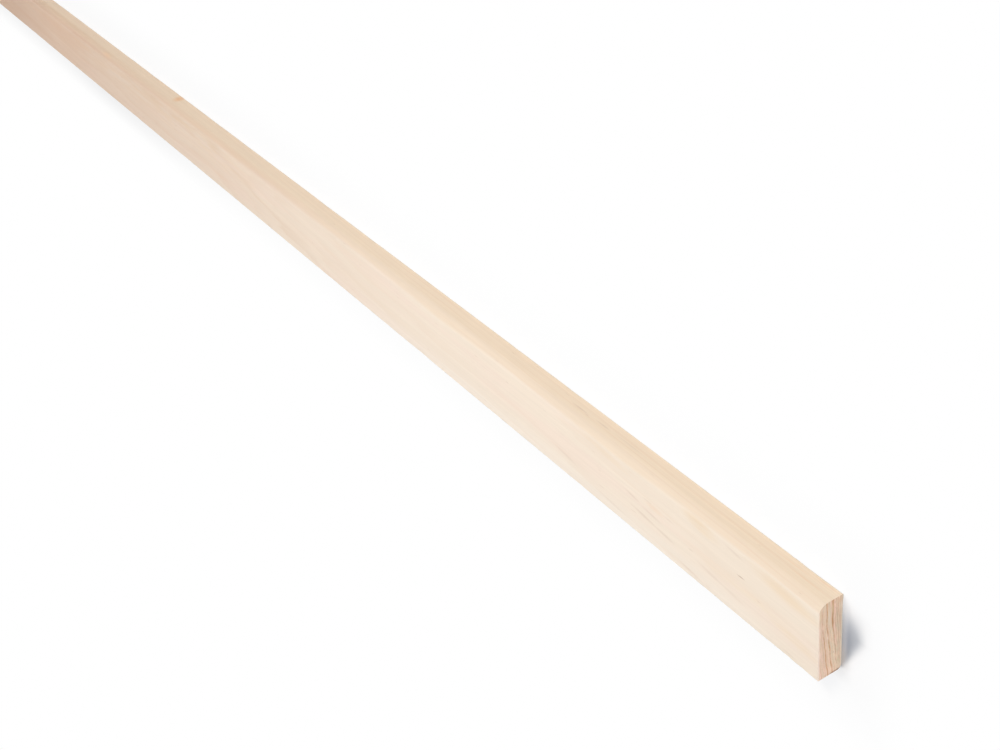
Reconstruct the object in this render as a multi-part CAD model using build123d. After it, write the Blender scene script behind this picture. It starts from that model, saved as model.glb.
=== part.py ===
from build123d import *
import os

# One length of skirting board: a single strip of planed softwood with one rounded edge.
# It lies on its back, the face that meets the wall once the board is fitted.
# X runs along the board. The foot looks towards -Y, the top edge towards +Y,
# and the show face looks up, towards +Z.
# The origin is the middle of the back. All sizes are in millimetres.

# Driving dimensions
LENGTH = 2400.0  # a stock length of small softwood trim
HEIGHT = 45.0  # from the foot to the top edge, across the face as the board lies
THICKNESS = 14.0  # from the back to the show face
NOSE_RADIUS = 5.0  # quarter round between the show face and the top edge
ARRIS_RADIUS = 0.5  # the other three long edges, just taken off so that they don't splinter


def board_section():
    """Cross-section as a face in the YZ plane, drawn with local x along Y and local y along Z."""
    foot = -HEIGHT / 2
    top_edge = HEIGHT / 2
    corners_and_radii = (
        ((foot, 0), ARRIS_RADIUS),
        ((top_edge, 0), ARRIS_RADIUS),
        ((top_edge, THICKNESS), NOSE_RADIUS),
        ((foot, THICKNESS), ARRIS_RADIUS),
    )
    corners = [corner for corner, radius in corners_and_radii]
    radii = [radius for corner, radius in corners_and_radii]
    return Plane.YZ * make_face(FilletPolyline(*corners, radius=radii, close=True))


def skirting_board():
    """The whole board, cut square at both ends."""
    return extrude(board_section(), amount=LENGTH / 2, dir=(1, 0, 0), both=True)


def main():
    os.makedirs("parts", exist_ok=True)
    board = skirting_board()
    board.label = "skirting_board"
    export_step(board, "parts/skirting_board.step")


main()
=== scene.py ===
import math
import random

import bmesh
import bpy
from mathutils import Matrix, Vector, noise


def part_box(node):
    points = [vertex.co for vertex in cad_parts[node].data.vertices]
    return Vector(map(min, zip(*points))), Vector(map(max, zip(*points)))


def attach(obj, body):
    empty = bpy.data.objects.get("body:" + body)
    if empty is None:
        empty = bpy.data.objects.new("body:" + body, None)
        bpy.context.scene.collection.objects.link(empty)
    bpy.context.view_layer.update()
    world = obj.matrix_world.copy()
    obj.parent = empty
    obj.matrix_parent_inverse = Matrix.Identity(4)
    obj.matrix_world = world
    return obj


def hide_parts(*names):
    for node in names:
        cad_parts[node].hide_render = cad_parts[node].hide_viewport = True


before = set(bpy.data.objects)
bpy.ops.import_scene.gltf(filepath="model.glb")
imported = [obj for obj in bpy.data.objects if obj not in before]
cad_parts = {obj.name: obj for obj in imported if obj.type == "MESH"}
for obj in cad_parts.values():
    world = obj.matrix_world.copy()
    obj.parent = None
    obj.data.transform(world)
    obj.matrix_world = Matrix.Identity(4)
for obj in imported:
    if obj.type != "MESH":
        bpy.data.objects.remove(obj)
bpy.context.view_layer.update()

# One length of planed pine skirting board, lying on its back. X runs along the board, the foot
# looks towards -Y, the top edge towards +Y and the show face looks up.
# Places are in metres, and the names that end in _MM are in millimetres.

MM = 0.001
BOARD = "skirting_board"
board_low, board_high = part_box(BOARD)
END_MM = board_high.x / MM
FOOT_MM = board_low.y / MM
TOP_MM = board_high.y / MM
FACE_MM = board_high.z / MM
NOSE_MM = 5.0
ARRIS_MM = 0.5

# How the tree grew. The rings are nearly flat in the board and bulge towards the show face,
# because the pith lay far behind the back. Depths are measured from the back on the board's
# middle line at the near end, and the pattern repeats after one cycle.
PITH_Y_MM = 29.7
PITH_DEPTH_MM = 305.0
# How far the bulge lifts the rings on the middle line
BULGE_MM = PITH_Y_MM**2 / (2 * (PITH_DEPTH_MM + FACE_MM / 2))
RING_CYCLE_MM = 16.5
# Each ring's late wood: the depth where it ends, its strength and its width
RING_LINES_MM = (
    (1.15, 0.45, 0.70),
    (2.55, 0.50, 0.70),
    (3.78, 0.40, 0.70),
    (5.25, 1.00, 0.75),
    (6.75, 0.45, 0.50),
    (8.42, 1.00, 1.00),
    (9.60, 0.35, 0.50),
    (10.97, 1.00, 0.75),
    (12.30, 0.40, 0.60),
    (14.55, 0.45, 0.60),
)
# Late wood stops suddenly, over this depth
RING_STOP_MM = 0.12
# The early wood's hue by depth, from greyish at 0 to pink at 1
RING_HUES_MM = (
    (0.5, 0.20),
    (2.5, 0.30),
    (3.6, 0.32),
    (4.4, 0.62),
    (5.2, 0.50),
    (5.9, 0.22),
    (7.0, 0.12),
    (8.0, 0.45),
    (9.3, 0.35),
    (10.2, 0.60),
    (11.0, 0.78),
    (13.0, 0.66),
    (15.6, 0.60),
    (16.0, 0.05),
)
# Whether a ring's line and its pink are strong low (0) or high (1) on the end
RING_SWELLS_MM = (
    (1.5, 0.6),
    (3.0, 0.8),
    (4.4, 1.0),
    (5.0, 1.0),
    (6.5, 0.5),
    (9.0, 0.4),
    (10.0, 0.0),
    (11.0, 0.0),
    (12.0, 0.4),
)
# Close to the back the rings run a little steeper
BACK_DRIFT = 0.04
BACK_DEPTHS_MM = (5.0, 4.2)
# Waves across the board: height, length and phase
RING_WAVES_MM = ((0.229, 36.0, -0.4526), (0.071, 18.0, -0.771), (0.120, 12.0, 2.826))
# How fast the rings run out of the board, and how far they wander far from the near end
TAPER = 0.0105
WANDER_MM = 9.0
# The tongues of golden wood come back after this depth.
GOLDEN_CYCLE_MM = 13.6

# How finely the mesh is cut
FINE_SLICE_MM = 1.5
FINE_REACH_MM = 60.0
COARSE_SLICE_MM = 5.0
FACE_CUT_MM = 1.65
SUPPORT_MM = 0.3
END_GRID_MM = 0.3

# The saw: how far off the foot and above the back its middle passed, and its marks' spacing
BLADE_OFF_MM = 150.0
BLADE_UP_MM = 60.0
BLADE_MARKS_MM = 1.7
BLADE_HAIRLINES_MM = 0.85
# Spacing of the planer's knife marks along the sides
KNIFE_MARKS_MM = 1.4
# How far the end faces are set back: everywhere, by the marks, by fuzz, by soft wood, by a slope
CUT_BACK_MM = 0.04
CUT_MARKS_MM = 0.04
CUT_FUZZ_MM = 0.03
CUT_SOFT_MM = 0.05
CUT_SLOPE_MM = 0.06

# Wear on the sharp edges
NICKS_ALONG = 46
NICKS_BY_END = 4
NICK_REACH_MM = 1.2
NICK_BLOCK_MM = 50
KNOCK_REACH_MM = 2.3
KNOCK_DEPTH_MM = 0.8
FRAY_LENGTH_MM = 6.0
FRAY_DEPTH_MM = 0.30


# Shape of the board

def squared_blank():
    """The plain squared length that the board is planed from."""
    bm = bmesh.new()
    bmesh.ops.create_cube(bm, size=1.0)
    bmesh.ops.scale(bm, vec=board_high - board_low, verts=bm.verts)
    bmesh.ops.translate(bm, vec=(board_low + board_high) / 2, verts=bm.verts)
    return bm


def plane_corner(bm, y, z, radius, steps):
    """Rounds the long edge that runs through y and z."""
    corner = Vector((y, z))
    edges = [e for e in bm.edges if all((v.co.yz - corner).length < 1e-6 for v in e.verts)]
    bmesh.ops.bevel(
        bm,
        geom=edges,
        offset=radius,
        offset_type="OFFSET",
        segments=steps,
        profile=0.5,
        affect="EDGES",
        material=-1,
    )


def slice_faces(bm, faces, at, normal):
    """Cuts the given faces along a plane and leaves both sides in place."""
    edges = {e for f in faces for e in f.edges}
    verts = {v for f in faces for v in f.verts}
    bmesh.ops.bisect_plane(
        bm, geom=[*faces, *edges, *verts], dist=1e-7, plane_co=at, plane_no=normal
    )


def facing(bm, direction):
    """The faces that look along the given direction."""
    return [f for f in bm.faces if f.normal.dot(Vector(direction)) > 0.999]


def cut_places(low, high, spacing):
    """Evenly spaced cuts between two arrises, with one close to each of them."""
    inner_low, inner_high = low + SUPPORT_MM, high - SUPPORT_MM
    count = max(1, round((inner_high - inner_low) / spacing))
    return [inner_low + (inner_high - inner_low) * i / count for i in range(count + 1)]


def divide_section(bm):
    """Divides the four flat sides lengthwise, so that they can take a little wear."""
    flats = (
        ((0, 0, 1), (0, 1, 0), FOOT_MM + ARRIS_MM, TOP_MM - NOSE_MM),
        ((0, 0, -1), (0, 1, 0), FOOT_MM + ARRIS_MM, TOP_MM - ARRIS_MM),
        ((0, -1, 0), (0, 0, 1), ARRIS_MM, FACE_MM - ARRIS_MM),
        ((0, 1, 0), (0, 0, 1), ARRIS_MM, FACE_MM - NOSE_MM),
    )
    for direction, across, low, high in flats:
        for place in cut_places(low, high, FACE_CUT_MM):
            at = Vector(across) * place * MM
            slice_faces(bm, facing(bm, direction), at, across)


def section_distances(bm):
    """How far round the section each of its points lies, from the arris between back and foot."""
    middle = Vector((0.0, FACE_MM * MM / 2))
    start = math.atan2(-middle.y, FOOT_MM * MM)

    def turn(point):
        angle = math.atan2(point[1] - middle.y, point[0] - middle.x)
        return (start - angle + 1e-4) % math.tau

    points = sorted({(round(v.co.y, 7), round(v.co.z, 7)) for v in bm.verts}, key=turn)
    reach, total = {}, 0.0
    for here, after in zip(points, points[1:] + points[:1]):
        reach[here] = total
        total += math.dist(here, after)
    return reach, total


def unroll(bm):
    """Lays the four sides out flat in one map, all of their length and all the way round."""
    uv = bm.loops.layers.uv.new("OFBake")
    reach, total = section_distances(bm)
    margin, side_share = 0.005, 0.825
    length = board_high.x - board_low.x
    for face in bm.faces:
        if abs(face.normal.x) > 0.9:
            continue
        around = [reach[(round(l.vert.co.y, 7), round(l.vert.co.z, 7))] for l in face.loops]
        across_start = max(around) - min(around) > total / 2
        for loop, place in zip(face.loops, around):
            if across_start and place < total / 2:
                place += total
            u = margin + (loop.vert.co.x - board_low.x) / length * (1 - 2 * margin)
            loop[uv].uv = (u, margin + place / total * side_share)


def map_ends(bm):
    """Lays both ends side by side in the strip of the map that the sides leave free."""
    uv = bm.loops.layers.uv.active
    share_per_metre = 0.47 / (board_high.y - board_low.y)
    for face in bm.faces:
        if abs(face.normal.x) < 0.9:
            continue
        left = 0.01 if face.normal.x > 0 else 0.51
        for loop in face.loops:
            point = loop.vert.co
            u = left + (point.y - board_low.y) * share_per_metre
            loop[uv].uv = (u, 0.845 + point.z * share_per_metre)


def divide_length(bm):
    """Slices the board across, finely near both ends."""
    for side in (-1, 1):
        at = Vector((side * (END_MM - FINE_REACH_MM) * MM, 0, 0))
        slice_faces(bm, [f for f in bm.faces if abs(f.normal.x) < 0.5], at, (1, 0, 0))
    stretches = (
        (True, round(FINE_REACH_MM / FINE_SLICE_MM)),
        (False, round(2 * (END_MM - FINE_REACH_MM) / COARSE_SLICE_MM)),
    )
    for at_end, slices in stretches:
        edges = []
        for edge in bm.edges:
            ends = [abs(v.co.x) / MM for v in edge.verts]
            runs_along = abs(edge.verts[0].co.x - edge.verts[1].co.x) > 10 * MM
            if runs_along and (max(ends) > END_MM - 1) == at_end:
                edges.append(edge)
        bmesh.ops.subdivide_edges(bm, edges=edges, cuts=slices - 1, use_grid_fill=True)


def divide_ends(bm):
    """Cuts both ends into a fine grid, which takes the marks of the saw."""
    for side in (-1, 1):
        ends = [f for f in bm.faces if f.normal.x * side > 0.9]
        for across, low, high in (((0, 1, 0), FOOT_MM, TOP_MM), ((0, 0, 1), 0.0, FACE_MM)):
            count = round((high - low) / END_GRID_MM)
            for i in range(1, count):
                at = Vector(across) * (low + (high - low) * i / count) * MM
                edges = {e for f in ends for e in f.edges}
                verts = {v for f in ends for v in f.verts}
                made = bmesh.ops.bisect_plane(
                    bm, geom=[*ends, *edges, *verts], dist=1e-7, plane_co=at, plane_no=across
                )
                ends = [g for g in made["geom"] if isinstance(g, bmesh.types.BMFace)]


def share_of(value, start, end):
    """How far the value has gone from start to end, from 0 to 1."""
    return min(1.0, max(0.0, (value - start) / (end - start)))


def ring_depth(x_mm, y_mm, z_mm):
    """Depth in the tree, from which the ring at a place follows."""
    depth = math.hypot(y_mm - PITH_Y_MM, z_mm + PITH_DEPTH_MM) - PITH_DEPTH_MM - BULGE_MM
    for height, length, phase in RING_WAVES_MM:
        depth -= height * math.sin(math.tau * y_mm / length + phase)
    depth += TAPER * (END_MM - x_mm)
    share = share_of(depth, *BACK_DEPTHS_MM)
    return depth + BACK_DRIFT * y_mm * share**2 * (3 - 2 * share)


def late_wood(x_mm, y_mm, z_mm):
    """How much hard, dark late wood there is at a place, from 0 to 1."""
    depth = ring_depth(x_mm, y_mm, z_mm) % RING_CYCLE_MM
    most = 0.0
    for line, strength, width in RING_LINES_MM:
        rise = share_of(depth, line - width, line)
        stop = share_of(depth, line + RING_STOP_MM, line)
        most = max(most, strength * min(rise, stop))
    return most


def saw_ends(bm):
    """Sets the end faces back a hair, with the saw's arcs, fuzz and soft early wood."""
    for v in bm.verts:
        x_mm, y_mm, z_mm = (v.co / MM)[:]
        if abs(x_mm) < END_MM - 1e-3:
            continue
        side = math.copysign(1, x_mm)
        radius = math.hypot(y_mm + BLADE_OFF_MM * side, z_mm - BLADE_UP_MM)
        arcs = 0.5 + 0.5 * math.sin(math.tau * radius / BLADE_MARKS_MM)
        arcs *= 0.5 + 0.5 * noise.noise(Vector((y_mm / 3, z_mm / 3, side * 7)))
        fuzz = abs(noise.noise(Vector((y_mm / 0.55, z_mm / 0.4, side * 3))))
        soft = 1 - late_wood(x_mm, y_mm, z_mm)
        slope = (1 - y_mm / TOP_MM) / 2
        back = CUT_BACK_MM + CUT_MARKS_MM * arcs + CUT_FUZZ_MM * fuzz
        back += CUT_SOFT_MM * soft + CUT_SLOPE_MM * slope
        v.co.x -= side * back * MM


def arris_nicks():
    """Nicks on the sharp edges, by stretch of the board: edge, place, half length and depth."""
    rng = random.Random(11)
    nicks = []
    for edge in ((FOOT_MM, 0.0), (TOP_MM, 0.0), (FOOT_MM, FACE_MM)):
        for _ in range(NICKS_ALONG):
            where = rng.uniform(-END_MM, END_MM)
            nicks.append((edge, where, rng.uniform(4, 16), rng.uniform(0.05, 0.22)))
        for side in (-1, 1):
            for _ in range(NICKS_BY_END):
                where = side * (END_MM - rng.uniform(0, 40))
                nicks.append((edge, where, rng.uniform(1.5, 4), rng.uniform(0.08, 0.25)))
    by_block = {}
    for nick in nicks:
        edge, where, reach, depth = nick
        first = int((where - reach) // NICK_BLOCK_MM)
        last = int((where + reach) // NICK_BLOCK_MM)
        for block in range(first, last + 1):
            by_block.setdefault(block, []).append(nick)
    return by_block


def wear_sides(bm):
    """Takes the sides in by a hair here and there, and nicks the sharp edges."""
    nicks = arris_nicks()
    middle = Vector((0, FACE_MM / 2))
    for v in bm.verts:
        x_mm, y_mm, z_mm = (v.co / MM)[:]
        if abs(x_mm) > END_MM - 0.5:
            continue
        inward = (middle - Vector((y_mm, z_mm))).normalized()
        take = 0.03 * abs(noise.noise(Vector((x_mm / 90, y_mm / 12, z_mm / 12))))
        for edge, where, reach, depth in nicks.get(int(x_mm // NICK_BLOCK_MM), ()):
            near = math.dist((y_mm, z_mm), edge) / NICK_REACH_MM
            along = abs(x_mm - where) / reach
            if near < 1 and along < 1:
                take += depth * (1 - along**2) ** 2 * (1 - near)
        # A flat side only moves along its own normal, so that it stays clean along the board.
        flat_y = min(y_mm - FOOT_MM, TOP_MM - y_mm) > ARRIS_MM
        flat_z = min(z_mm, FACE_MM - z_mm) > ARRIS_MM
        move = Vector((0, 0.0 if flat_y else inward.x, 0.0 if flat_z else inward.y))
        if move.length > 1e-6:
            v.co += move.normalized() * take * MM


def knock_corner(bm):
    """Rounds the near end's lower back corner, and frays the back's rim below its upper corner."""
    corner = Vector((END_MM, FOOT_MM, 0.0))
    for v in bm.verts:
        place = v.co / MM
        along = (place.x - (END_MM - FRAY_LENGTH_MM)) / FRAY_LENGTH_MM
        if along < 0:
            continue
        near = (place - corner).length / KNOCK_REACH_MM
        if near < 1:
            v.co += Vector((0, 0.7, 0.7)) * KNOCK_DEPTH_MM * (1 - near**2) ** 2 * MM
        rim = share_of(place.y, 20.0, 19.3) * share_of(place.y, 2.0, 9.0)
        rim *= share_of(place.z, 1.2, 0.0)
        ragged = 0.75 + 0.5 * noise.noise(Vector((place.y / 2.2, 5.0, 0.0)))
        v.co.z += FRAY_DEPTH_MM * along**2 * rim * ragged * MM


def board_mesh():
    """The whole board as one closed mesh, with its planed sides and its sawn ends."""
    bm = squared_blank()
    foot, top, back, face = FOOT_MM * MM, TOP_MM * MM, 0.0, FACE_MM * MM
    plane_corner(bm, top, face, NOSE_MM * MM, 14)
    for y, z in ((foot, back), (top, back), (foot, face)):
        plane_corner(bm, y, z, ARRIS_MM * MM, 3)
    divide_section(bm)
    unroll(bm)
    divide_length(bm)
    divide_ends(bm)
    map_ends(bm)
    for f in bm.faces:
        f.material_index = 1 if abs(f.normal.x) > 0.9 else 0
        f.smooth = True
    for e in bm.edges:
        materials = {f.material_index for f in e.link_faces}
        e.smooth = len(materials) == 1
    saw_ends(bm)
    wear_sides(bm)
    knock_corner(bm)
    bmesh.ops.recalc_face_normals(bm, faces=bm.faces)
    mesh = bpy.data.meshes.new("board")
    bm.to_mesh(mesh)
    bm.free()
    return mesh


# Small helpers for node trees

def add_node(tree, kind, feeds=(), **settings):
    """A node with its settings, and a socket or a plain value for each input that is named."""
    made = tree.nodes.new("ShaderNode" + kind)
    for name, value in settings.items():
        setattr(made, name, value)
    for key, value in dict(feeds).items():
        if isinstance(value, bpy.types.NodeSocket):
            tree.links.new(value, made.inputs[key])
        else:
            made.inputs[key].default_value = value
    return made


def maths(tree, operation, *values, clamp=False):
    made = add_node(tree, "Math", enumerate(values), operation=operation, use_clamp=clamp)
    return made.outputs[0]


def product(tree, *factors):
    """All the values multiplied together."""
    total = factors[0]
    for factor in factors[1:]:
        total = maths(tree, "MULTIPLY", total, factor)
    return total


def scaled(tree, value, factor, plus):
    """The value times a factor, plus an amount."""
    return maths(tree, "MULTIPLY_ADD", value, factor, plus)


def swinging(tree, value):
    """A value from 0 to 1, moved so that it swings about 0."""
    return maths(tree, "SUBTRACT", value, 0.5)


def split(tree, vector):
    """The three axes of a place."""
    return add_node(tree, "SeparateXYZ", {0: vector}).outputs


def join(tree, **axes):
    return add_node(tree, "CombineXYZ", axes).outputs[0]


def vector_maths(tree, operation, *vectors):
    return add_node(tree, "VectorMath", enumerate(vectors), operation=operation).outputs


def length_of(tree, vector):
    return vector_maths(tree, "LENGTH", vector)["Value"]


def stretch(tree, vector, x, y, z):
    """The place divided by a length along each axis, in millimetres."""
    return vector_maths(tree, "MULTIPLY", vector, (1 / x, 1 / y, 1 / z))[0]


def place_in_mm(tree):
    """The place on the object, in millimetres."""
    return stretch(tree, add_node(tree, "TexCoord").outputs["Object"], MM, MM, MM)


def clouds(tree, vector, detail=2.0, roughness=0.5, scale=1.0):
    feeds = {"Vector": vector, "Scale": scale, "Detail": detail, "Roughness": roughness}
    return add_node(tree, "TexNoise", feeds).outputs["Fac"]


def fade(tree, value, start, end, low=0.0, high=1.0):
    """Goes smoothly from low to high as the value goes from start to end."""
    feeds = {0: value, 1: start, 2: end, 3: low, 4: high}
    made = add_node(tree, "MapRange", feeds, interpolation_type="SMOOTHSTEP")
    return made.outputs[0]


def blend(tree, amount, under, over, blend_type="MIX"):
    made = add_node(tree, "Mix", {0: amount}, data_type="RGBA", blend_type=blend_type)
    for key, colour in ((6, under), (7, over)):
        if isinstance(colour, bpy.types.NodeSocket):
            tree.links.new(colour, made.inputs[key])
        else:
            made.inputs[key].default_value = (*colour, 1.0)
    return made.outputs[2]


def tone(tree, value, stops, interpolation="LINEAR"):
    """A ramp of levels over 0 to 1."""
    made = add_node(tree, "ValToRGB", {0: value})
    ramp = made.color_ramp
    ramp.interpolation = interpolation
    while len(ramp.elements) < len(stops):
        ramp.elements.new(1.0)
    for element, (place, level) in zip(ramp.elements, stops):
        element.position = place
        element.color = (level, level, level, 1.0)
    return made.outputs[0]


def new_group(name, inputs, outputs):
    """An empty node group with named sockets: its tree, its inputs and its output node."""
    tree = bpy.data.node_groups.new(name, "ShaderNodeTree")
    for label, kind, start in inputs:
        socket = tree.interface.new_socket(label, in_out="INPUT", socket_type="NodeSocket" + kind)
        if start is not None:
            socket.default_value = start
    for label, kind in outputs:
        tree.interface.new_socket(label, in_out="OUTPUT", socket_type="NodeSocket" + kind)
    given = tree.nodes.new("NodeGroupInput").outputs
    result = tree.nodes.new("NodeGroupOutput").inputs
    return tree, given, result


def use_group(tree, group, **feeds):
    """Places a group and feeds its inputs, with an underscore for each blank in their names."""
    made = tree.nodes.new("ShaderNodeGroup")
    made.node_tree = group
    for key, value in feeds.items():
        socket = made.inputs[key.replace("_", " ")]
        if isinstance(value, bpy.types.NodeSocket):
            tree.links.new(value, socket)
        else:
            socket.default_value = value
    return made.outputs


# Effects that both finishes share

def growth_rings():
    """Late wood and a shade for each ring, at a place given in millimetres."""
    tree, given, result = new_group(
        "growth_rings",
        (("Place", "Vector", None), ("Waver", "Float", 0.2)),
        (
            ("Late Wood", "Float"),
            ("Ring Shade", "Float"),
            ("Ring Hue", "Float"),
            ("Swell", "Float"),
            ("Depth", "Float"),
        ),
    )
    place = given["Place"]
    axes = split(tree, place)
    y_off = maths(tree, "SUBTRACT", axes["Y"], PITH_Y_MM)
    z_off = maths(tree, "ADD", axes["Z"], PITH_DEPTH_MM)
    depth = length_of(tree, join(tree, Y=y_off, Z=z_off))
    depth = maths(tree, "SUBTRACT", depth, PITH_DEPTH_MM + BULGE_MM)
    for height, length, phase in RING_WAVES_MM:
        angle = scaled(tree, axes["Y"], math.tau / length, phase)
        depth = scaled(tree, maths(tree, "SINE", angle), -height, depth)
    from_end = maths(tree, "SUBTRACT", END_MM, axes["X"])
    depth = scaled(tree, from_end, TAPER, depth)
    depth = scaled(tree, fade(tree, depth, *BACK_DEPTHS_MM, 0.0, BACK_DRIFT), axes["Y"], depth)
    # The stem wandered as it grew, so the rings drift away from the near end's pattern.
    wander = swinging(tree, clouds(tree, stretch(tree, place, 330.0, 70.0, 70.0)))
    depth = scaled(tree, wander, fade(tree, from_end, 10.0, 500.0, 0.0, WANDER_MM), depth)
    shiver = swinging(tree, clouds(tree, stretch(tree, place, 45.0, 4.5, 9.0), detail=3.0))
    depth = scaled(tree, shiver, given["Waver"], depth)
    turn = maths(tree, "FRACT", maths(tree, "DIVIDE", depth, RING_CYCLE_MM))
    stops = [(0.0, 0.0)]
    for line, strength, width in RING_LINES_MM:
        stops.append(((line - width) / RING_CYCLE_MM, 0.0))
        stops.append((line / RING_CYCLE_MM, strength))
        stops.append(((line + RING_STOP_MM) / RING_CYCLE_MM, 0.0))
    tree.links.new(tone(tree, turn, stops), result["Late Wood"])
    tree.links.new(clouds(tree, join(tree, X=depth), scale=0.9), result["Ring Shade"])
    for hues, name in ((RING_HUES_MM, "Ring Hue"), (RING_SWELLS_MM, "Swell")):
        stops = [(at / RING_CYCLE_MM, level) for at, level in hues]
        tree.links.new(tone(tree, turn, stops, "EASE"), result[name])
    tree.links.new(depth, result["Depth"])
    return tree


def wood_fibres():
    """Fine streaks along the board and the short dark dashes of the resin canals."""
    tree, given, result = new_group(
        "wood_fibres",
        (("Place", "Vector", None),),
        (("Streaks", "Float"), ("Hairs", "Float"), ("Canals", "Float")),
    )
    place = given["Place"]
    streaks = clouds(tree, stretch(tree, place, 70.0, 1.7, 1.7), detail=4.0, roughness=0.6)
    tree.links.new(streaks, result["Streaks"])
    hairs = clouds(tree, stretch(tree, place, 16.0, 0.38, 0.38), roughness=0.55)
    tree.links.new(hairs, result["Hairs"])
    cells = stretch(tree, place, 24.0, 3.1, 3.1)
    bend = clouds(tree, stretch(tree, place, 30.0, 6.0, 6.0))
    cells = vector_maths(tree, "ADD", cells, bend)[0]
    feeds = {"Vector": cells, "Scale": 1.0}
    spot = add_node(tree, "TexVoronoi", feeds, feature="F1").outputs
    dash = fade(tree, spot["Distance"], 0.05, 0.11, 1.0, 0.0)
    # Little more than half of the cells hold a canal.
    chance = add_node(tree, "SeparateColor", {0: spot["Color"]}).outputs[0]
    kept = maths(tree, "GREATER_THAN", chance, 0.45)
    tree.links.new(product(tree, dash, kept), result["Canals"])
    return tree


# Listed marks: place along the board, from the middle towards the top edge and above the back,
# half length, half width, lean and strength. First dark flecks and streaks.
DARK_MARKS_MM = (
    (1148.0, 3.7, 14.0, 3.3, 0.42, 0.0, 0.85),
    (1160.3, -2.8, 14.0, 1.8, 0.40, -0.10, 0.30),
    (1144.0, 15.6, 14.0, 8.0, 1.2, -0.12, 0.16),
    (1077.0, 4.9, 14.0, 4.5, 0.7, -0.05, 0.15),
    (1094.0, 3.4, 14.0, 5.0, 0.9, 0.0, 0.13),
    (1064.0, 0.4, 14.0, 8.0, 1.2, -0.15, 0.20),
    (1080.0, -2.4, 14.0, 10.0, 1.3, -0.12, 0.17),
    (1074.0, -7.3, 14.0, 13.0, 1.3, -0.10, 0.27),
    (1090.0, -9.0, 14.0, 10.0, 1.3, -0.10, 0.22),
    (1126.0, -10.0, 14.0, 12.0, 1.4, -0.10, 0.17),
    (1142.0, -11.8, 14.0, 11.0, 1.4, -0.10, 0.13),
    (1004.0, -9.0, 14.0, 12.0, 1.5, -0.12, 0.16),
    (1045.0, -16.5, 14.0, 16.0, 1.0, -0.08, 0.16),
    (1011.0, 22.5, 6.6, 9.0, 0.7, 0.0, 0.34),
    (1031.0, 22.5, 6.3, 7.0, 0.7, 0.0, 0.32),
    (1055.0, 22.5, 6.0, 16.0, 0.6, 0.0, 0.18),
    (1109.0, -18.9, 14.0, 10.0, 1.0, -0.10, 0.22),
    (1181.0, -20.0, 14.0, 7.0, 0.9, -0.05, 0.14),
    (85.0, 20.8, 12.2, 80.0, 3.0, 0.0, 0.14),
)
# An orange streak, the top edge's warm lines and the small knot at its back
WARM_MARKS_MM = (
    (1083.0, 3.2, 14.0, 9.0, 2.6, -0.05, 0.19),
    (1183.0, 22.5, 6.3, 13.0, 0.5, 0.0, 0.26),
    (1172.0, 22.5, 3.4, 16.0, 0.5, 0.0, 0.22),
    (1191.0, 22.5, 1.6, 9.0, 0.6, 0.0, 0.28),
    (437.0, 22.5, 3.6, 6.5, 6.4, 0.0, 0.90),
    (285.0, 21.4, 12.0, 13.0, 2.6, 0.0, 0.35),
)
# Tongues of golden wood near the near end
GOLDEN_PATCHES_MM = (
    (1178.0, 14.3, 14.0, 30.0, 5.6, -0.11, 1.00),
    (1118.0, 16.4, 14.0, 16.0, 5.6, -0.14, 1.00),
    (1186.0, -8.7, 14.0, 22.0, 4.2, -0.10, 0.70),
    (1148.0, -3.0, 14.0, 50.0, 4.0, -0.03, 0.50),
    (1127.0, -4.0, 14.0, 16.0, 4.0, -0.20, 0.35),
    (1040.0, 15.0, 14.0, 26.0, 3.0, -0.10, 0.50),
    (1100.0, -19.0, 14.0, 20.0, 3.0, -0.05, 0.35),
)


# Tan heartwood, from none at 0 to full at 1, from the far end to the near end
HEARTWOOD_STOPS = (
    (0.0, 0.20),
    (0.12, 0.35),
    (0.26, 0.75),
    (0.38, 1.0),
    (0.47, 1.0),
    (0.53, 0.76),
    (0.615, 0.46),
    (0.75, 0.20),
    (0.85, 0.03),
    (1.0, 0.0),
)
# One cycle of the golden tongues
GOLDEN_STOPS = ((0.0, 0.0), (0.45, 0.0), (0.60, 0.8), (0.94, 0.7), (0.99, 0.0))


def marks(tree, place, listed):
    """All the marks of one list, each a soft ellipse."""
    total = 0.0
    for along, across, above, length, width, lean, strength in listed:
        axes = split(tree, vector_maths(tree, "SUBTRACT", place, (along, across, above))[0])
        level = scaled(tree, axes["X"], -lean, axes["Y"])
        flat = join(tree, X=axes["X"], Y=level, Z=axes["Z"])
        reach = length_of(tree, stretch(tree, flat, length, width, width))
        total = maths(tree, "MAXIMUM", fade(tree, reach, 1.15, 0.1, 0.0, strength), total)
    return total


def golden_wood(tree, place, axes, drift, depth):
    """Golden wood along the top edge, which reaches down the show face in tongues."""
    edge = fade(tree, scaled(tree, drift, 5.0, axes["Y"]), 17.9, 20.7)
    # The tongues follow the rings, with a ragged outline.
    turn = maths(tree, "DIVIDE", scaled(tree, drift, 1.6, depth), GOLDEN_CYCLE_MM)
    patchy = clouds(tree, stretch(tree, place, 38.0, 5.0, 5.0), detail=3.0, roughness=0.6)
    tongues = product(
        tree,
        tone(tree, maths(tree, "FRACT", turn), GOLDEN_STOPS),
        fade(tree, axes["Y"], -12.0, 14.0),
        fade(tree, patchy, 0.36, 0.60),
        fade(tree, axes["X"], 1040.0, 990.0),
    )
    ragged = fade(tree, patchy, 0.30, 0.52, 0.35, 1.0)
    by_hand = product(tree, marks(tree, place, GOLDEN_PATCHES_MM), ragged)
    return maths(tree, "MAXIMUM", maths(tree, "MAXIMUM", edge, tongues), by_hand)


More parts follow.
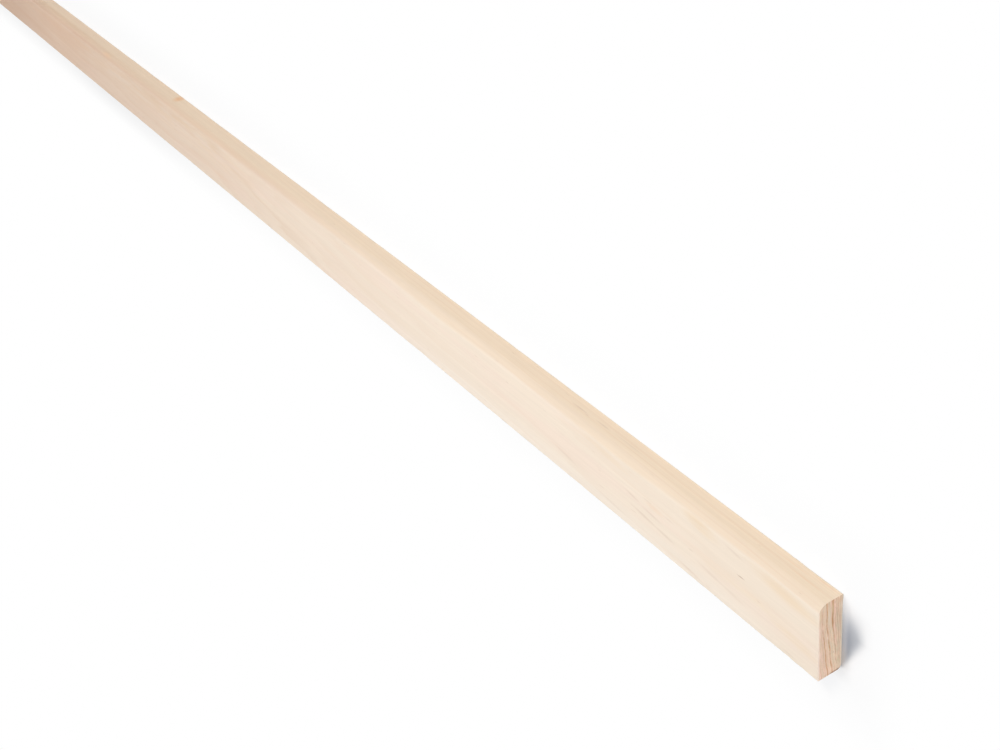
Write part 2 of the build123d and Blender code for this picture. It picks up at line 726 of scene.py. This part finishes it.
def nose_tan(tree, axes, nose):
    """Far from the near end, a tan nose and a darker line where it meets the top edge."""
    y_off = maths(tree, "SUBTRACT", axes["Y"], TOP_MM - 0.6)
    z_off = maths(tree, "SUBTRACT", axes["Z"], FACE_MM - 2.9)
    off = length_of(tree, join(tree, Y=y_off, Z=z_off))
    line = product(tree, fade(tree, off, 4.5, 0.6), fade(tree, axes["X"], 650.0, 50.0))
    tan = product(tree, nose, fade(tree, axes["X"], 850.0, 550.0, 0.0, 0.65))
    return maths(tree, "MAXIMUM", line, tan)


def board_tints():
    """The slow changes of colour: tan heartwood, golden wood, rosy patches, the nose's tan, the
    marks; and the mask of the painted shade on the nose.
    """
    tree, given, result = new_group(
        "board_tints",
        (("Place", "Vector", None), ("Depth", "Float", 0.0)),
        (
            ("Heartwood", "Float"),
            ("Golden", "Float"),
            ("Rosy", "Float"),
            ("Nose", "Float"),
            ("Nose Tan", "Float"),
            ("Dark Marks", "Float"),
            ("Warm Marks", "Float"),
        ),
    )
    place = given["Place"]
    axes = split(tree, place)
    drift = swinging(tree, clouds(tree, stretch(tree, place, 140.0, 16.0, 16.0), detail=3.0))
    along = scaled(tree, scaled(tree, drift, 350.0, axes["X"]), 1 / (2 * END_MM), 0.5)
    heart = tone(tree, along, HEARTWOOD_STOPS, "B_SPLINE")
    skin = fade(tree, axes["Y"], 19.5, 22.4, 1.0, 0.30)
    rosy = clouds(tree, stretch(tree, place, 120.0, 9.0, 9.0), detail=3.0)
    # The nose's mask carries the painted shade that dims the rounded nose, which the lamps light
    # more than the flat sides, and the nose's tan far from the near end.
    crest = TOP_MM + FACE_MM - (2 - math.sqrt(2)) * NOSE_MM
    nose = fade(tree, maths(tree, "ADD", axes["Y"], axes["Z"]), crest - 2.0, crest)
    grain = clouds(tree, stretch(tree, place, 6.0, 0.35, 0.35))
    grain = fade(tree, grain, 0.25, 0.6, 0.55, 1.0)
    tints = {
        "Heartwood": product(tree, heart, skin),
        "Golden": golden_wood(tree, place, axes, drift, given["Depth"]),
        "Rosy": fade(tree, rosy, 0.42, 0.68),
        "Nose": nose,
        "Nose Tan": nose_tan(tree, axes, nose),
        "Dark Marks": product(tree, marks(tree, place, DARK_MARKS_MM), grain),
        "Warm Marks": marks(tree, place, WARM_MARKS_MM),
    }
    for name, tint in tints.items():
        tree.links.new(tint, result[name])
    return tree


# The two finishes

def new_finish(name):
    """A material with one shader, and the place in millimetres that its patterns follow."""
    material = bpy.data.materials.new(name)
    material.use_nodes = True
    tree = material.node_tree
    tree.nodes.clear()
    shader = add_node(tree, "BsdfPrincipled")
    output = add_node(tree, "OutputMaterial")
    tree.links.new(shader.outputs[0], output.inputs["Surface"])
    return material, tree, shader, place_in_mm(tree)


def raise_grain(tree, shader, height, depth_mm):
    """Gives a finish its fine relief."""
    feeds = {"Height": height, "Distance": depth_mm * MM, "Strength": 1.0}
    bump = add_node(tree, "Bump", feeds)
    tree.links.new(bump.outputs[0], shader.inputs["Normal"])


def darken(tree, colour, shade):
    return vector_maths(tree, "MULTIPLY", colour, shade)[0]


# Colours of the planed sides
SAP_CREAM = (0.860, 0.745, 0.620)
SAP_GOLD = (0.838, 0.686, 0.520)
HEART_TAN = (0.735, 0.485, 0.343)
LOW_PALE = (0.885, 0.790, 0.685)
ROSE = (0.870, 0.720, 0.610)
LINE_BROWN = (0.640, 0.430, 0.280)
MARK_BROWN = (0.450, 0.300, 0.220)
MARK_ORANGE = (0.800, 0.500, 0.290)
# Shades that the colour under them is multiplied with
NOSE_TAN = (0.915, 0.850, 0.790)
# PAINTED_NOSE_SHADE is painted shade: it dims the rounded nose, which the lamps light more than the
# flat sides.
PAINTED_NOSE_SHADE = (0.895, 0.900, 0.925)
# PAINTED_MIDDLE_SHADE is painted shade, a little less red, in place of light falling off along the
# board's middle.
PAINTED_MIDDLE_SHADE = (0.900, 0.950, 0.985)
# Resin canals, on all sides
RESIN = (0.480, 0.330, 0.230)
# Colours of the sawn ends
EARLY_WOOD = (0.755, 0.560, 0.420)
EARLY_TAN = (0.70, 0.50, 0.36)
LATE_WOOD = (0.500, 0.250, 0.105)
FRESH_PINK = (0.820, 0.590, 0.475)
STALE_GREY = (0.720, 0.585, 0.440)
ASHEN = (0.755, 0.640, 0.515)
STRAW = (0.730, 0.600, 0.405)
BURN = (0.540, 0.265, 0.130)
TORN_PALE = (0.920, 0.770, 0.660)
# FOOT_LINE_SHADE is painted shade, a thin dark line along the end's edge at the foot.
FOOT_LINE_SHADE = (0.340, 0.200, 0.130)
# PALE_FIBRES_AND_PAINTED_LIGHT is partly pale torn fibres and partly painted light on the back rim.
PALE_FIBRES_AND_PAINTED_LIGHT = (0.850, 0.745, 0.620)


def planed_colour(tree, axes, ring, fibre, tint):
    """Cream sapwood with golden and tan parts, faint ring lines, the marks and fine streaks."""
    colour = blend(tree, product(tree, tint["Rosy"], 0.6), SAP_CREAM, ROSE)
    colour = blend(tree, tint["Golden"], colour, SAP_GOLD)
    colour = blend(tree, tint["Heartwood"], colour, HEART_TAN)
    # Painted shade on the rounded nose, which the lamps light more than the flat sides.
    colour = blend(tree, tint["Nose"], colour, PAINTED_NOSE_SHADE, "MULTIPLY")
    colour = blend(tree, tint["Nose Tan"], colour, NOSE_TAN, "MULTIPLY")
    # Painted shade, a little less red, on a stretch of the board's middle, in place of light
    # falling off there.
    middle = fade(tree, axes["X"], 150.0, -60.0)
    middle = product(tree, middle, fade(tree, axes["X"], -500.0, -100.0))
    colour = blend(tree, middle, colour, PAINTED_MIDDLE_SHADE, "MULTIPLY")
    # The lower part of the show face is paler from a hand's breadth off the near end.
    low_pale = product(
        tree,
        fade(tree, axes["Y"], -8.0, -19.0, 0.0, 0.6),
        fade(tree, axes["X"], 1190.0, 1130.0),
        fade(tree, axes["X"], 650.0, 900.0),
    )
    colour = blend(tree, low_pale, colour, LOW_PALE)
    feather = fade(tree, fibre["Streaks"], 0.30, 0.65)
    colour = blend(tree, product(tree, ring["Late Wood"], feather, 0.26), colour, LINE_BROWN)
    colour = blend(tree, tint["Warm Marks"], colour, MARK_ORANGE)
    colour = blend(tree, tint["Dark Marks"], colour, MARK_BROWN)
    shade = scaled(tree, swinging(tree, fibre["Streaks"]), 0.12, 1.0)
    shade = scaled(tree, swinging(tree, fibre["Hairs"]), 0.06, shade)
    shade = scaled(tree, swinging(tree, ring["Ring Shade"]), 0.06, shade)
    colour = darken(tree, colour, shade)
    return blend(tree, product(tree, fibre["Canals"], 0.22), colour, RESIN)


def planed_pine(rings, fibres, tints):
    """The four planed sides: smooth, matt, with hardly any contrast between the rings."""
    material, tree, shader, place = new_finish("planed_pine")
    axes = split(tree, place)
    ring = use_group(tree, rings, Place=place, Waver=0.9)
    fibre = use_group(tree, fibres, Place=place)
    tint = use_group(tree, tints, Place=place, Depth=ring["Depth"])
    colour = planed_colour(tree, axes, ring, fibre, tint)
    tree.links.new(colour, shader.inputs["Base Color"])
    # Marks of the planer's knives, raised late wood and hairs, sunken canals
    knife = maths(tree, "SINE", product(tree, axes["X"], math.tau / KNIFE_MARKS_MM))
    height = product(tree, knife, 0.10)
    height = scaled(tree, fibre["Hairs"], 0.8, height)
    height = scaled(tree, ring["Late Wood"], 0.5, height)
    height = scaled(tree, fibre["Canals"], -0.8, height)
    raise_grain(tree, shader, height, 0.02)
    tree.links.new(scaled(tree, fibre["Streaks"], 0.14, 0.62), shader.inputs["Roughness"])
    shader.inputs["Specular IOR Level"].default_value = 0.2
    return material


# Listed marks on the near end: place from the middle towards the top edge, above the back and
# in from the end, half length, half width, lean and strength. First lines burnt by the saw.
END_BURNS_MM = (
    (9.5, 5.80, 0.0, 4.0, 0.60, 0.12, 0.80),
    (-0.5, 4.30, 0.0, 2.6, 0.35, 0.12, 0.40),
    (19.0, 9.25, 0.0, 4.0, 0.50, 0.06, 0.35),
    (-9.0, 9.35, 0.0, 5.0, 0.35, 0.13, 0.40),
    (-18.0, 8.20, 0.0, 4.0, 0.30, 0.12, 0.35),
    (-18.0, 5.45, 0.0, 3.5, 0.35, 0.10, 0.30),
    (20.0, 2.10, 0.0, 1.6, 0.35, 0.00, 0.35),
    (17.0, 12.60, 0.0, 4.5, 0.60, 0.00, 0.16),
)
# Dark torn flecks
END_FLECKS_MM = (
    (0.3, 8.5, 0.0, 0.9, 0.30, 0.1, 0.50),
    (-9.4, 4.9, 0.0, 0.8, 0.35, 0.1, 0.45),
    (-14.7, 1.6, 0.0, 1.6, 0.30, 0.1, 0.40),
    (-3.5, 0.4, 0.0, 1.2, 0.35, 0.0, 0.40),
    (20.3, 4.9, 0.0, 1.0, 0.30, 0.0, 0.45),
    (5.5, 9.9, 0.0, 1.0, 0.30, 0.0, 0.40),
)
# Pale torn fibres
END_PALE_MM = (
    (1.0, 8.7, 0.0, 1.8, 0.45, 0.12, 0.60),
    (-9.6, 4.4, 0.0, 1.4, 0.40, 0.12, 0.55),
    (17.0, 0.9, 0.0, 2.6, 0.60, 0.00, 0.40),
    (8.0, 13.2, 0.0, 9.0, 0.50, 0.00, 0.25),
)
# Greyish bands
END_ASHEN_MM = (
    (13.5, 8.05, 0.0, 7.5, 0.95, 0.05, 0.75),
    (16.0, 1.30, 0.0, 6.5, 1.20, 0.00, 0.40),
)
# Straw-coloured bands
END_STRAW_MM = (
    (-16.4, 1.70, 0.0, 2.8, 0.80, 0.25, 0.80),
    (17.5, 13.00, 0.0, 5.5, 0.65, 0.00, 0.75),
    (18.0, 6.20, 0.0, 3.8, 0.60, 0.05, 0.55),
)


def early_wood_colour(tree, ring, tint, along_ring, swell):
    """The open wood between the lines, greyish or pink from ring to ring."""
    colour = blend(tree, product(tree, tint["Heartwood"], 0.6), EARLY_WOOD, EARLY_TAN)
    patches = swinging(tree, clouds(tree, stretch(tree, along_ring, 1.1, 6.0, 9.0)))
    hue = scaled(tree, patches, 2.4, ring["Ring Hue"])
    hue = scaled(tree, swell, 0.03, hue)
    colour = blend(tree, fade(tree, hue, 0.50, 1.10), colour, FRESH_PINK)
    return blend(tree, fade(tree, hue, 0.50, -0.10), colour, STALE_GREY)


def sawn_lines(tree, place, ring, swell):
    """The dark lines. Each is stronger towards one edge of the board, as its own swell says."""
    uneven = clouds(tree, stretch(tree, place, 20.0, 3.5, 3.0))
    uneven = fade(tree, uneven, 0.32, 0.62, -0.25, 0.30)
    strength = maths(tree, "ADD", scaled(tree, swell, 0.055, 0.70), uneven, clamp=True)
    return product(tree, maths(tree, "POWER", ring["Late Wood"], 1.2), strength)


def sawn_shade(tree, axes, ring, along_ring, grit):
    """Light and dark rings, spots and grit, and painted light and shade across the end: darker
    towards the top edge, lighter low towards the back.
    """
    spots = clouds(tree, stretch(tree, along_ring, 0.8, 3.5, 9.0))
    shade = scaled(tree, swinging(tree, ring["Ring Shade"]), 0.30, 1.0)
    shade = scaled(tree, swinging(tree, spots), 0.30, shade)
    shade = scaled(tree, swinging(tree, grit), 0.24, shade)
    # Painted shade towards the top edge and painted light low towards the back even out how the
    # lamps fall on the end.
    upper = fade(tree, axes["Y"], 4.0, 18.0, 1.0, 0.97)
    low_back = product(tree, fade(tree, axes["Y"], 12.0, -2.0), fade(tree, axes["Z"], 11.5, 6.0))
    return product(tree, shade, upper, scaled(tree, low_back, 0.11, 1.005))


def end_marks(tree, axes, colour):
    """The listed marks, which run across the board and fade out inwards."""
    inward = product(tree, maths(tree, "SUBTRACT", END_MM, axes["X"]), 0.1)
    across = join(tree, X=axes["Y"], Y=axes["Z"], Z=inward)
    for listed, over in (
        (END_ASHEN_MM, ASHEN),
        (END_STRAW_MM, STRAW),
        (END_BURNS_MM, BURN),
        (END_FLECKS_MM, RESIN),
        (END_PALE_MM, TORN_PALE),
    ):
        colour = blend(tree, marks(tree, across, listed), colour, over)
    return colour


def torn_rims(tree, axes, colour):
    """Pale torn fibres along the show face's rim, a pale back rim that is partly torn fibres and
    partly painted light, and a thin painted shade line at the foot.
    """
    narrower = fade(tree, axes["Y"], -8.0, 8.0, 0.05, 0.55)
    face_rim = maths(tree, "SUBTRACT", axes["Z"], narrower)
    face_rim = fade(tree, face_rim, FACE_MM - 1.2, FACE_MM - 0.55, 0.0, 0.85)
    # The back rim is partly pale torn fibres and partly painted light that lifts its shade near the
    # floor.
    back_rim_fibres_and_light = fade(tree, axes["Z"], 1.15, 0.35, 0.0, 0.75)
    back_rim_fibres_and_light = product(tree, back_rim_fibres_and_light, fade(tree, axes["Y"], 19.0, 15.0, 0.1, 1.0))
    # A thin line of painted shade along the end's edge at the foot, where the floor's shadow meets
    # it.
    painted_foot_shade = fade(tree, axes["Y"], FOOT_MM + 1.1, FOOT_MM + 0.5)
    painted_foot_shade = product(tree, painted_foot_shade, fade(tree, axes["Z"], 8.5, 5.0, 0.0, 0.9))
    colour = blend(tree, face_rim, colour, TORN_PALE)
    colour = blend(tree, back_rim_fibres_and_light, colour, PALE_FIBRES_AND_PAINTED_LIGHT)
    return blend(tree, painted_foot_shade, colour, FOOT_LINE_SHADE)


def sawn_pine(rings, fibres, tints):
    """The two sawn ends: darker open grain, sharp rings, faint arcs of the blade, torn specks."""
    material, tree, shader, place = new_finish("sawn_pine")
    axes = split(tree, place)
    ring = use_group(tree, rings, Place=place, Waver=0.5)
    fibre = use_group(tree, fibres, Place=place)
    tint = use_group(tree, tints, Place=place, Depth=ring["Depth"])
    along_ring = join(tree, X=ring["Depth"], Y=axes["Y"], Z=axes["X"])
    swell = product(tree, swinging(tree, ring["Swell"]), axes["Y"])
    grit = clouds(tree, stretch(tree, place, 1.0, 0.5, 0.28))
    colour = early_wood_colour(tree, ring, tint, along_ring, swell)
    colour = blend(tree, sawn_lines(tree, place, ring, swell), colour, LATE_WOOD)
    colour = darken(tree, colour, sawn_shade(tree, axes, ring, along_ring, grit))
    colour = blend(tree, product(tree, fibre["Canals"], 0.35), colour, RESIN)
    colour = end_marks(tree, axes, colour)
    colour = torn_rims(tree, axes, colour)
    tree.links.new(colour, shader.inputs["Base Color"])
    y_off = maths(tree, "ADD", axes["Y"], BLADE_OFF_MM)
    z_off = maths(tree, "SUBTRACT", axes["Z"], BLADE_UP_MM)
    arc = length_of(tree, join(tree, Y=y_off, Z=z_off))
    arcs = maths(tree, "SINE", product(tree, arc, math.tau / BLADE_HAIRLINES_MM))
    height = product(tree, arcs, 0.25)
    height = scaled(tree, grit, 1.6, height)
    height = scaled(tree, ring["Late Wood"], 0.3, height)
    raise_grain(tree, shader, height, 0.08)
    shader.inputs["Roughness"].default_value = 0.88
    shader.inputs["Specular IOR Level"].default_value = 0.1
    return material


def fit_board():
    """The board with its two finishes, in the place of the CAD node."""
    board = bpy.data.objects.new("planed_board", board_mesh())
    bpy.context.scene.collection.objects.link(board)
    effects = growth_rings(), wood_fibres(), board_tints()
    board.data.materials.append(planed_pine(*effects))
    board.data.materials.append(sawn_pine(*effects))
    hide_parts(BOARD)
    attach(board, "root")


# Studio

# Solved from the photograph: the camera's place, what it looks at, and which way is up in it
CAMERA_PLACE = Vector((1.538525, 0.465181, 0.337739))
CAMERA_AIM = Vector((0.941371, 0.011522, 0.014))
PICTURE_TOP = Vector((-0.422437, 0.824589, -0.376297))
LENS = 52.0424


def photo_camera():
    """The camera, which keeps its place and its roll relative to the board in the photograph."""
    data = bpy.data.cameras.new("camera")
    data.sensor_width = 36.0
    data.lens = LENS
    data.clip_start = 0.01
    data.clip_end = 50.0
    camera = bpy.data.objects.new("camera", data)
    back = (CAMERA_PLACE - CAMERA_AIM).normalized()
    right = PICTURE_TOP.cross(back).normalized()
    axes = Matrix((right, back.cross(right), back)).transposed()
    camera.matrix_world = Matrix.Translation(CAMERA_PLACE) @ axes.to_4x4()
    bpy.context.scene.collection.objects.link(camera)
    bpy.context.scene.camera = camera


def seen_rays(tree):
    """1 for the rays of the camera, of gloss and of glass, which show the background white."""
    path = add_node(tree, "LightPath").outputs
    seen = maths(tree, "MAXIMUM", path["Is Camera Ray"], path["Is Glossy Ray"])
    return maths(tree, "MAXIMUM", seen, path["Is Transmission Ray"])


def soft_world(strength):
    """A pale world that lights the board softly and is seen white."""
    world = bpy.data.worlds.new("soft_white")
    bpy.context.scene.world = world
    world.use_nodes = True
    tree = world.node_tree
    tree.nodes.clear()
    lit = add_node(tree, "Background", {"Color": (1.0, 1.0, 1.0, 1.0), "Strength": strength})
    white = add_node(tree, "Background", {"Color": (1.0, 1.0, 1.0, 1.0), "Strength": 1.0})
    feeds = {0: seen_rays(tree), 1: lit.outputs[0], 2: white.outputs[0]}
    mixed = add_node(tree, "MixShader", feeds)
    tree.links.new(mixed.outputs[0], add_node(tree, "OutputWorld").inputs[0])


# The floor's own grey, and the grey and the bluish tint of the shadow painted into it beside the
# near end.
FLOOR_GREY = (0.860, 0.862, 0.875)
PAINTED_SHADOW_GREY = (0.400, 0.428, 0.475)
PAINTED_SHADOW_TINT = (0.910, 0.985, 1.090)
# How far out the end's shadow reaches for each millimetre above the foot, and at most
SHADOW_LEAN = 0.45
SHADOW_REACH_MM = 10.7
# The direction of the shade that leaves the foot corner
CORNER_SIN = 0.569
CORNER_COS = 0.822
# How white the floor is seen close to the board and a little way off
BLEACH_NEAR = 0.82
BLEACH_FAR = 1.0


def end_shadow(tree, axes, beyond_end):
    """The painted shadow beside the near end. Its front leans away from the foot corner."""
    above_foot = maths(tree, "MAXIMUM", maths(tree, "SUBTRACT", axes["Y"], FOOT_MM), 0.0)
    lean = maths(tree, "MINIMUM", product(tree, above_foot, SHADOW_LEAN), SHADOW_REACH_MM)
    past_front = maths(tree, "SUBTRACT", beyond_end, lean)
    softness = scaled(tree, above_foot, 0.13, 1.0)
    front = fade(tree, maths(tree, "DIVIDE", past_front, softness), -1.0, 1.7, 1.0, 0.0)
    core = product(tree, front, fade(tree, axes["Y"], -4.0, 27.0, 1.0, 0.0))
    lit = maths(tree, "SUBTRACT", 1.0, core)
    rim = fade(tree, past_front, 0.0, 9.0, 0.36, 0.0)
    rim = product(tree, rim, fade(tree, axes["Y"], -5.0, 30.0, 1.0, 0.0), lit, lit)
    beside_end = fade(tree, axes["Y"], FOOT_MM - 2.0, FOOT_MM + 2.5)
    beside_end = product(tree, beside_end, fade(tree, beyond_end, -8.0, -1.0))
    return product(tree, maths(tree, "ADD", core, rim), beside_end)


def foot_shadow(tree, axes):
    """A faint painted shade along the foot, from the middle of the board to the far end."""
    return product(
        tree,
        fade(tree, axes["Y"], -70.0, -44.0, 0.0, 0.31),
        fade(tree, axes["Y"], FOOT_MM + 2.0, FOOT_MM),
        fade(tree, axes["X"], 60.0, 190.0, 0.55, 1.0),
        fade(tree, axes["X"], 550.0, 200.0),
        fade(tree, axes["X"], -END_MM - 5.0, -END_MM + 15.0),
    )


def corner_shadow(tree, axes, beyond_end):
    """A faint painted shade from the near end's foot corner, out to the side of the foot."""
    below_foot = maths(tree, "SUBTRACT", axes["Y"], FOOT_MM)
    out = scaled(tree, below_foot, -CORNER_SIN, product(tree, beyond_end, CORNER_COS))
    along = scaled(tree, below_foot, -CORNER_COS, product(tree, beyond_end, -CORNER_SIN))
    return product(
        tree,
        fade(tree, out, 12.0, 2.0),
        fade(tree, out, -2.0, 0.0),
        fade(tree, along, 3.0, 13.0, 0.10, 0.42),
        fade(tree, along, 29.0, 20.0),
        fade(tree, along, -12.0, -2.0),
    )


def shadow_places(tree, place_mm):
    """How much of the floor is seen white, where its painted shadow is deep, and where it is
    painted bluish.
    """
    axes = split(tree, place_mm)
    beyond_end = maths(tree, "SUBTRACT", axes["X"], END_MM)
    shade = end_shadow(tree, axes, beyond_end)
    shade = maths(tree, "MAXIMUM", shade, foot_shadow(tree, axes))
    shade = maths(tree, "MAXIMUM", shade, corner_shadow(tree, axes, beyond_end))
    sideways = maths(tree, "ABSOLUTE", axes["Y"])
    past_either_end = maths(tree, "SUBTRACT", maths(tree, "ABSOLUTE", axes["X"]), END_MM)
    off_side = fade(tree, sideways, 28.0, 75.0, BLEACH_NEAR, BLEACH_FAR)
    off_end = fade(tree, past_either_end, 4.0, 45.0, BLEACH_NEAR, BLEACH_FAR)
    away = maths(tree, "MAXIMUM", off_side, off_end)
    white = product(tree, maths(tree, "SUBTRACT", 1.0, shade), away)
    core = fade(tree, shade, 0.15, 0.85)
    deep = product(tree, core, fade(tree, beyond_end, 0.5, 4.5, 0.25, 1.0))
    close = product(
        tree,
        core,
        fade(tree, beyond_end, 7.0, 0.5),
        fade(tree, axes["Y"], -16.0, -3.0, 0.15, 1.0),
    )
    return white, deep, close


def pale_floor():
    """A pale floor, a hair below the board, that is seen white a little way off it; where the
    painted shadow masks lie, it shows its own shading, painted darker and bluish in the core.
    """
    bm = bmesh.new()
    bmesh.ops.create_grid(bm, x_segments=1, y_segments=1, size=8.0)
    bmesh.ops.translate(bm, vec=(0, 0, -0.05 * MM), verts=bm.verts)
    mesh = bpy.data.meshes.new("floor")
    bm.to_mesh(mesh)
    bm.free()
    floor = bpy.data.objects.new("floor", mesh)
    bpy.context.scene.collection.objects.link(floor)
    material = bpy.data.materials.new("pale_floor")
    material.use_nodes = True
    tree = material.node_tree
    tree.nodes.clear()
    white_share, deep, close = shadow_places(tree, place_in_mm(tree))
    # The shadow's core is painted into the floor's colour, darker and bluish.
    colour = blend(tree, deep, FLOOR_GREY, PAINTED_SHADOW_GREY)
    colour = blend(tree, close, colour, PAINTED_SHADOW_TINT, "MULTIPLY")
    matt = add_node(tree, "BsdfDiffuse", {"Color": colour})
    white = add_node(tree, "Emission", {"Color": (1.0, 1.0, 1.0, 1.0), "Strength": 1.0})
    amount = product(tree, white_share, seen_rays(tree))
    mixed = add_node(tree, "MixShader", {0: amount, 1: matt.outputs[0], 2: white.outputs[0]})
    tree.links.new(mixed.outputs[0], add_node(tree, "OutputMaterial").inputs[0])
    mesh.materials.append(material)


# Each lamp's place, what it is aimed at, its width, its height and its power
LAMPS = {
    "overhead": ((0.95, 0.40, 1.05), (1.05, 0.0, 0.0), 0.5, 0.5, 9.0),
    "fill": ((2.20, 0.35, 0.25), (1.2, 0.0, 0.0), 0.5, 0.3, 5.6),
    "far_fill": ((-2.20, 0.35, 0.25), (-1.2, 0.0, 0.0), 0.5, 0.3, 4.0),
    "far": ((-0.60, 0.70, 1.00), (-0.40, 0.0, 0.0), 0.9, 0.5, 8.8),
}
WORLD_STRENGTH = 0.27


def lamp(name, place, aim, width, height, power):
    """A soft rectangular lamp at a place, aimed at a point."""
    data = bpy.data.lights.new(name, "AREA")
    data.shape = "RECTANGLE"
    data.size = width
    data.size_y = height
    data.energy = power
    made = bpy.data.objects.new(name, data)
    made.location = place
    made.rotation_mode = "QUATERNION"
    made.rotation_quaternion = (Vector(aim) - Vector(place)).to_track_quat("-Z", "Y")
    bpy.context.scene.collection.objects.link(made)


def studio():
    """Soft light all round, the floor and the lamps."""
    bpy.context.scene.view_settings.view_transform = "Standard"
    soft_world(WORLD_STRENGTH)
    pale_floor()
    for name, settings in LAMPS.items():
        lamp(name, *settings)


photo_camera()
fit_board()
studio()
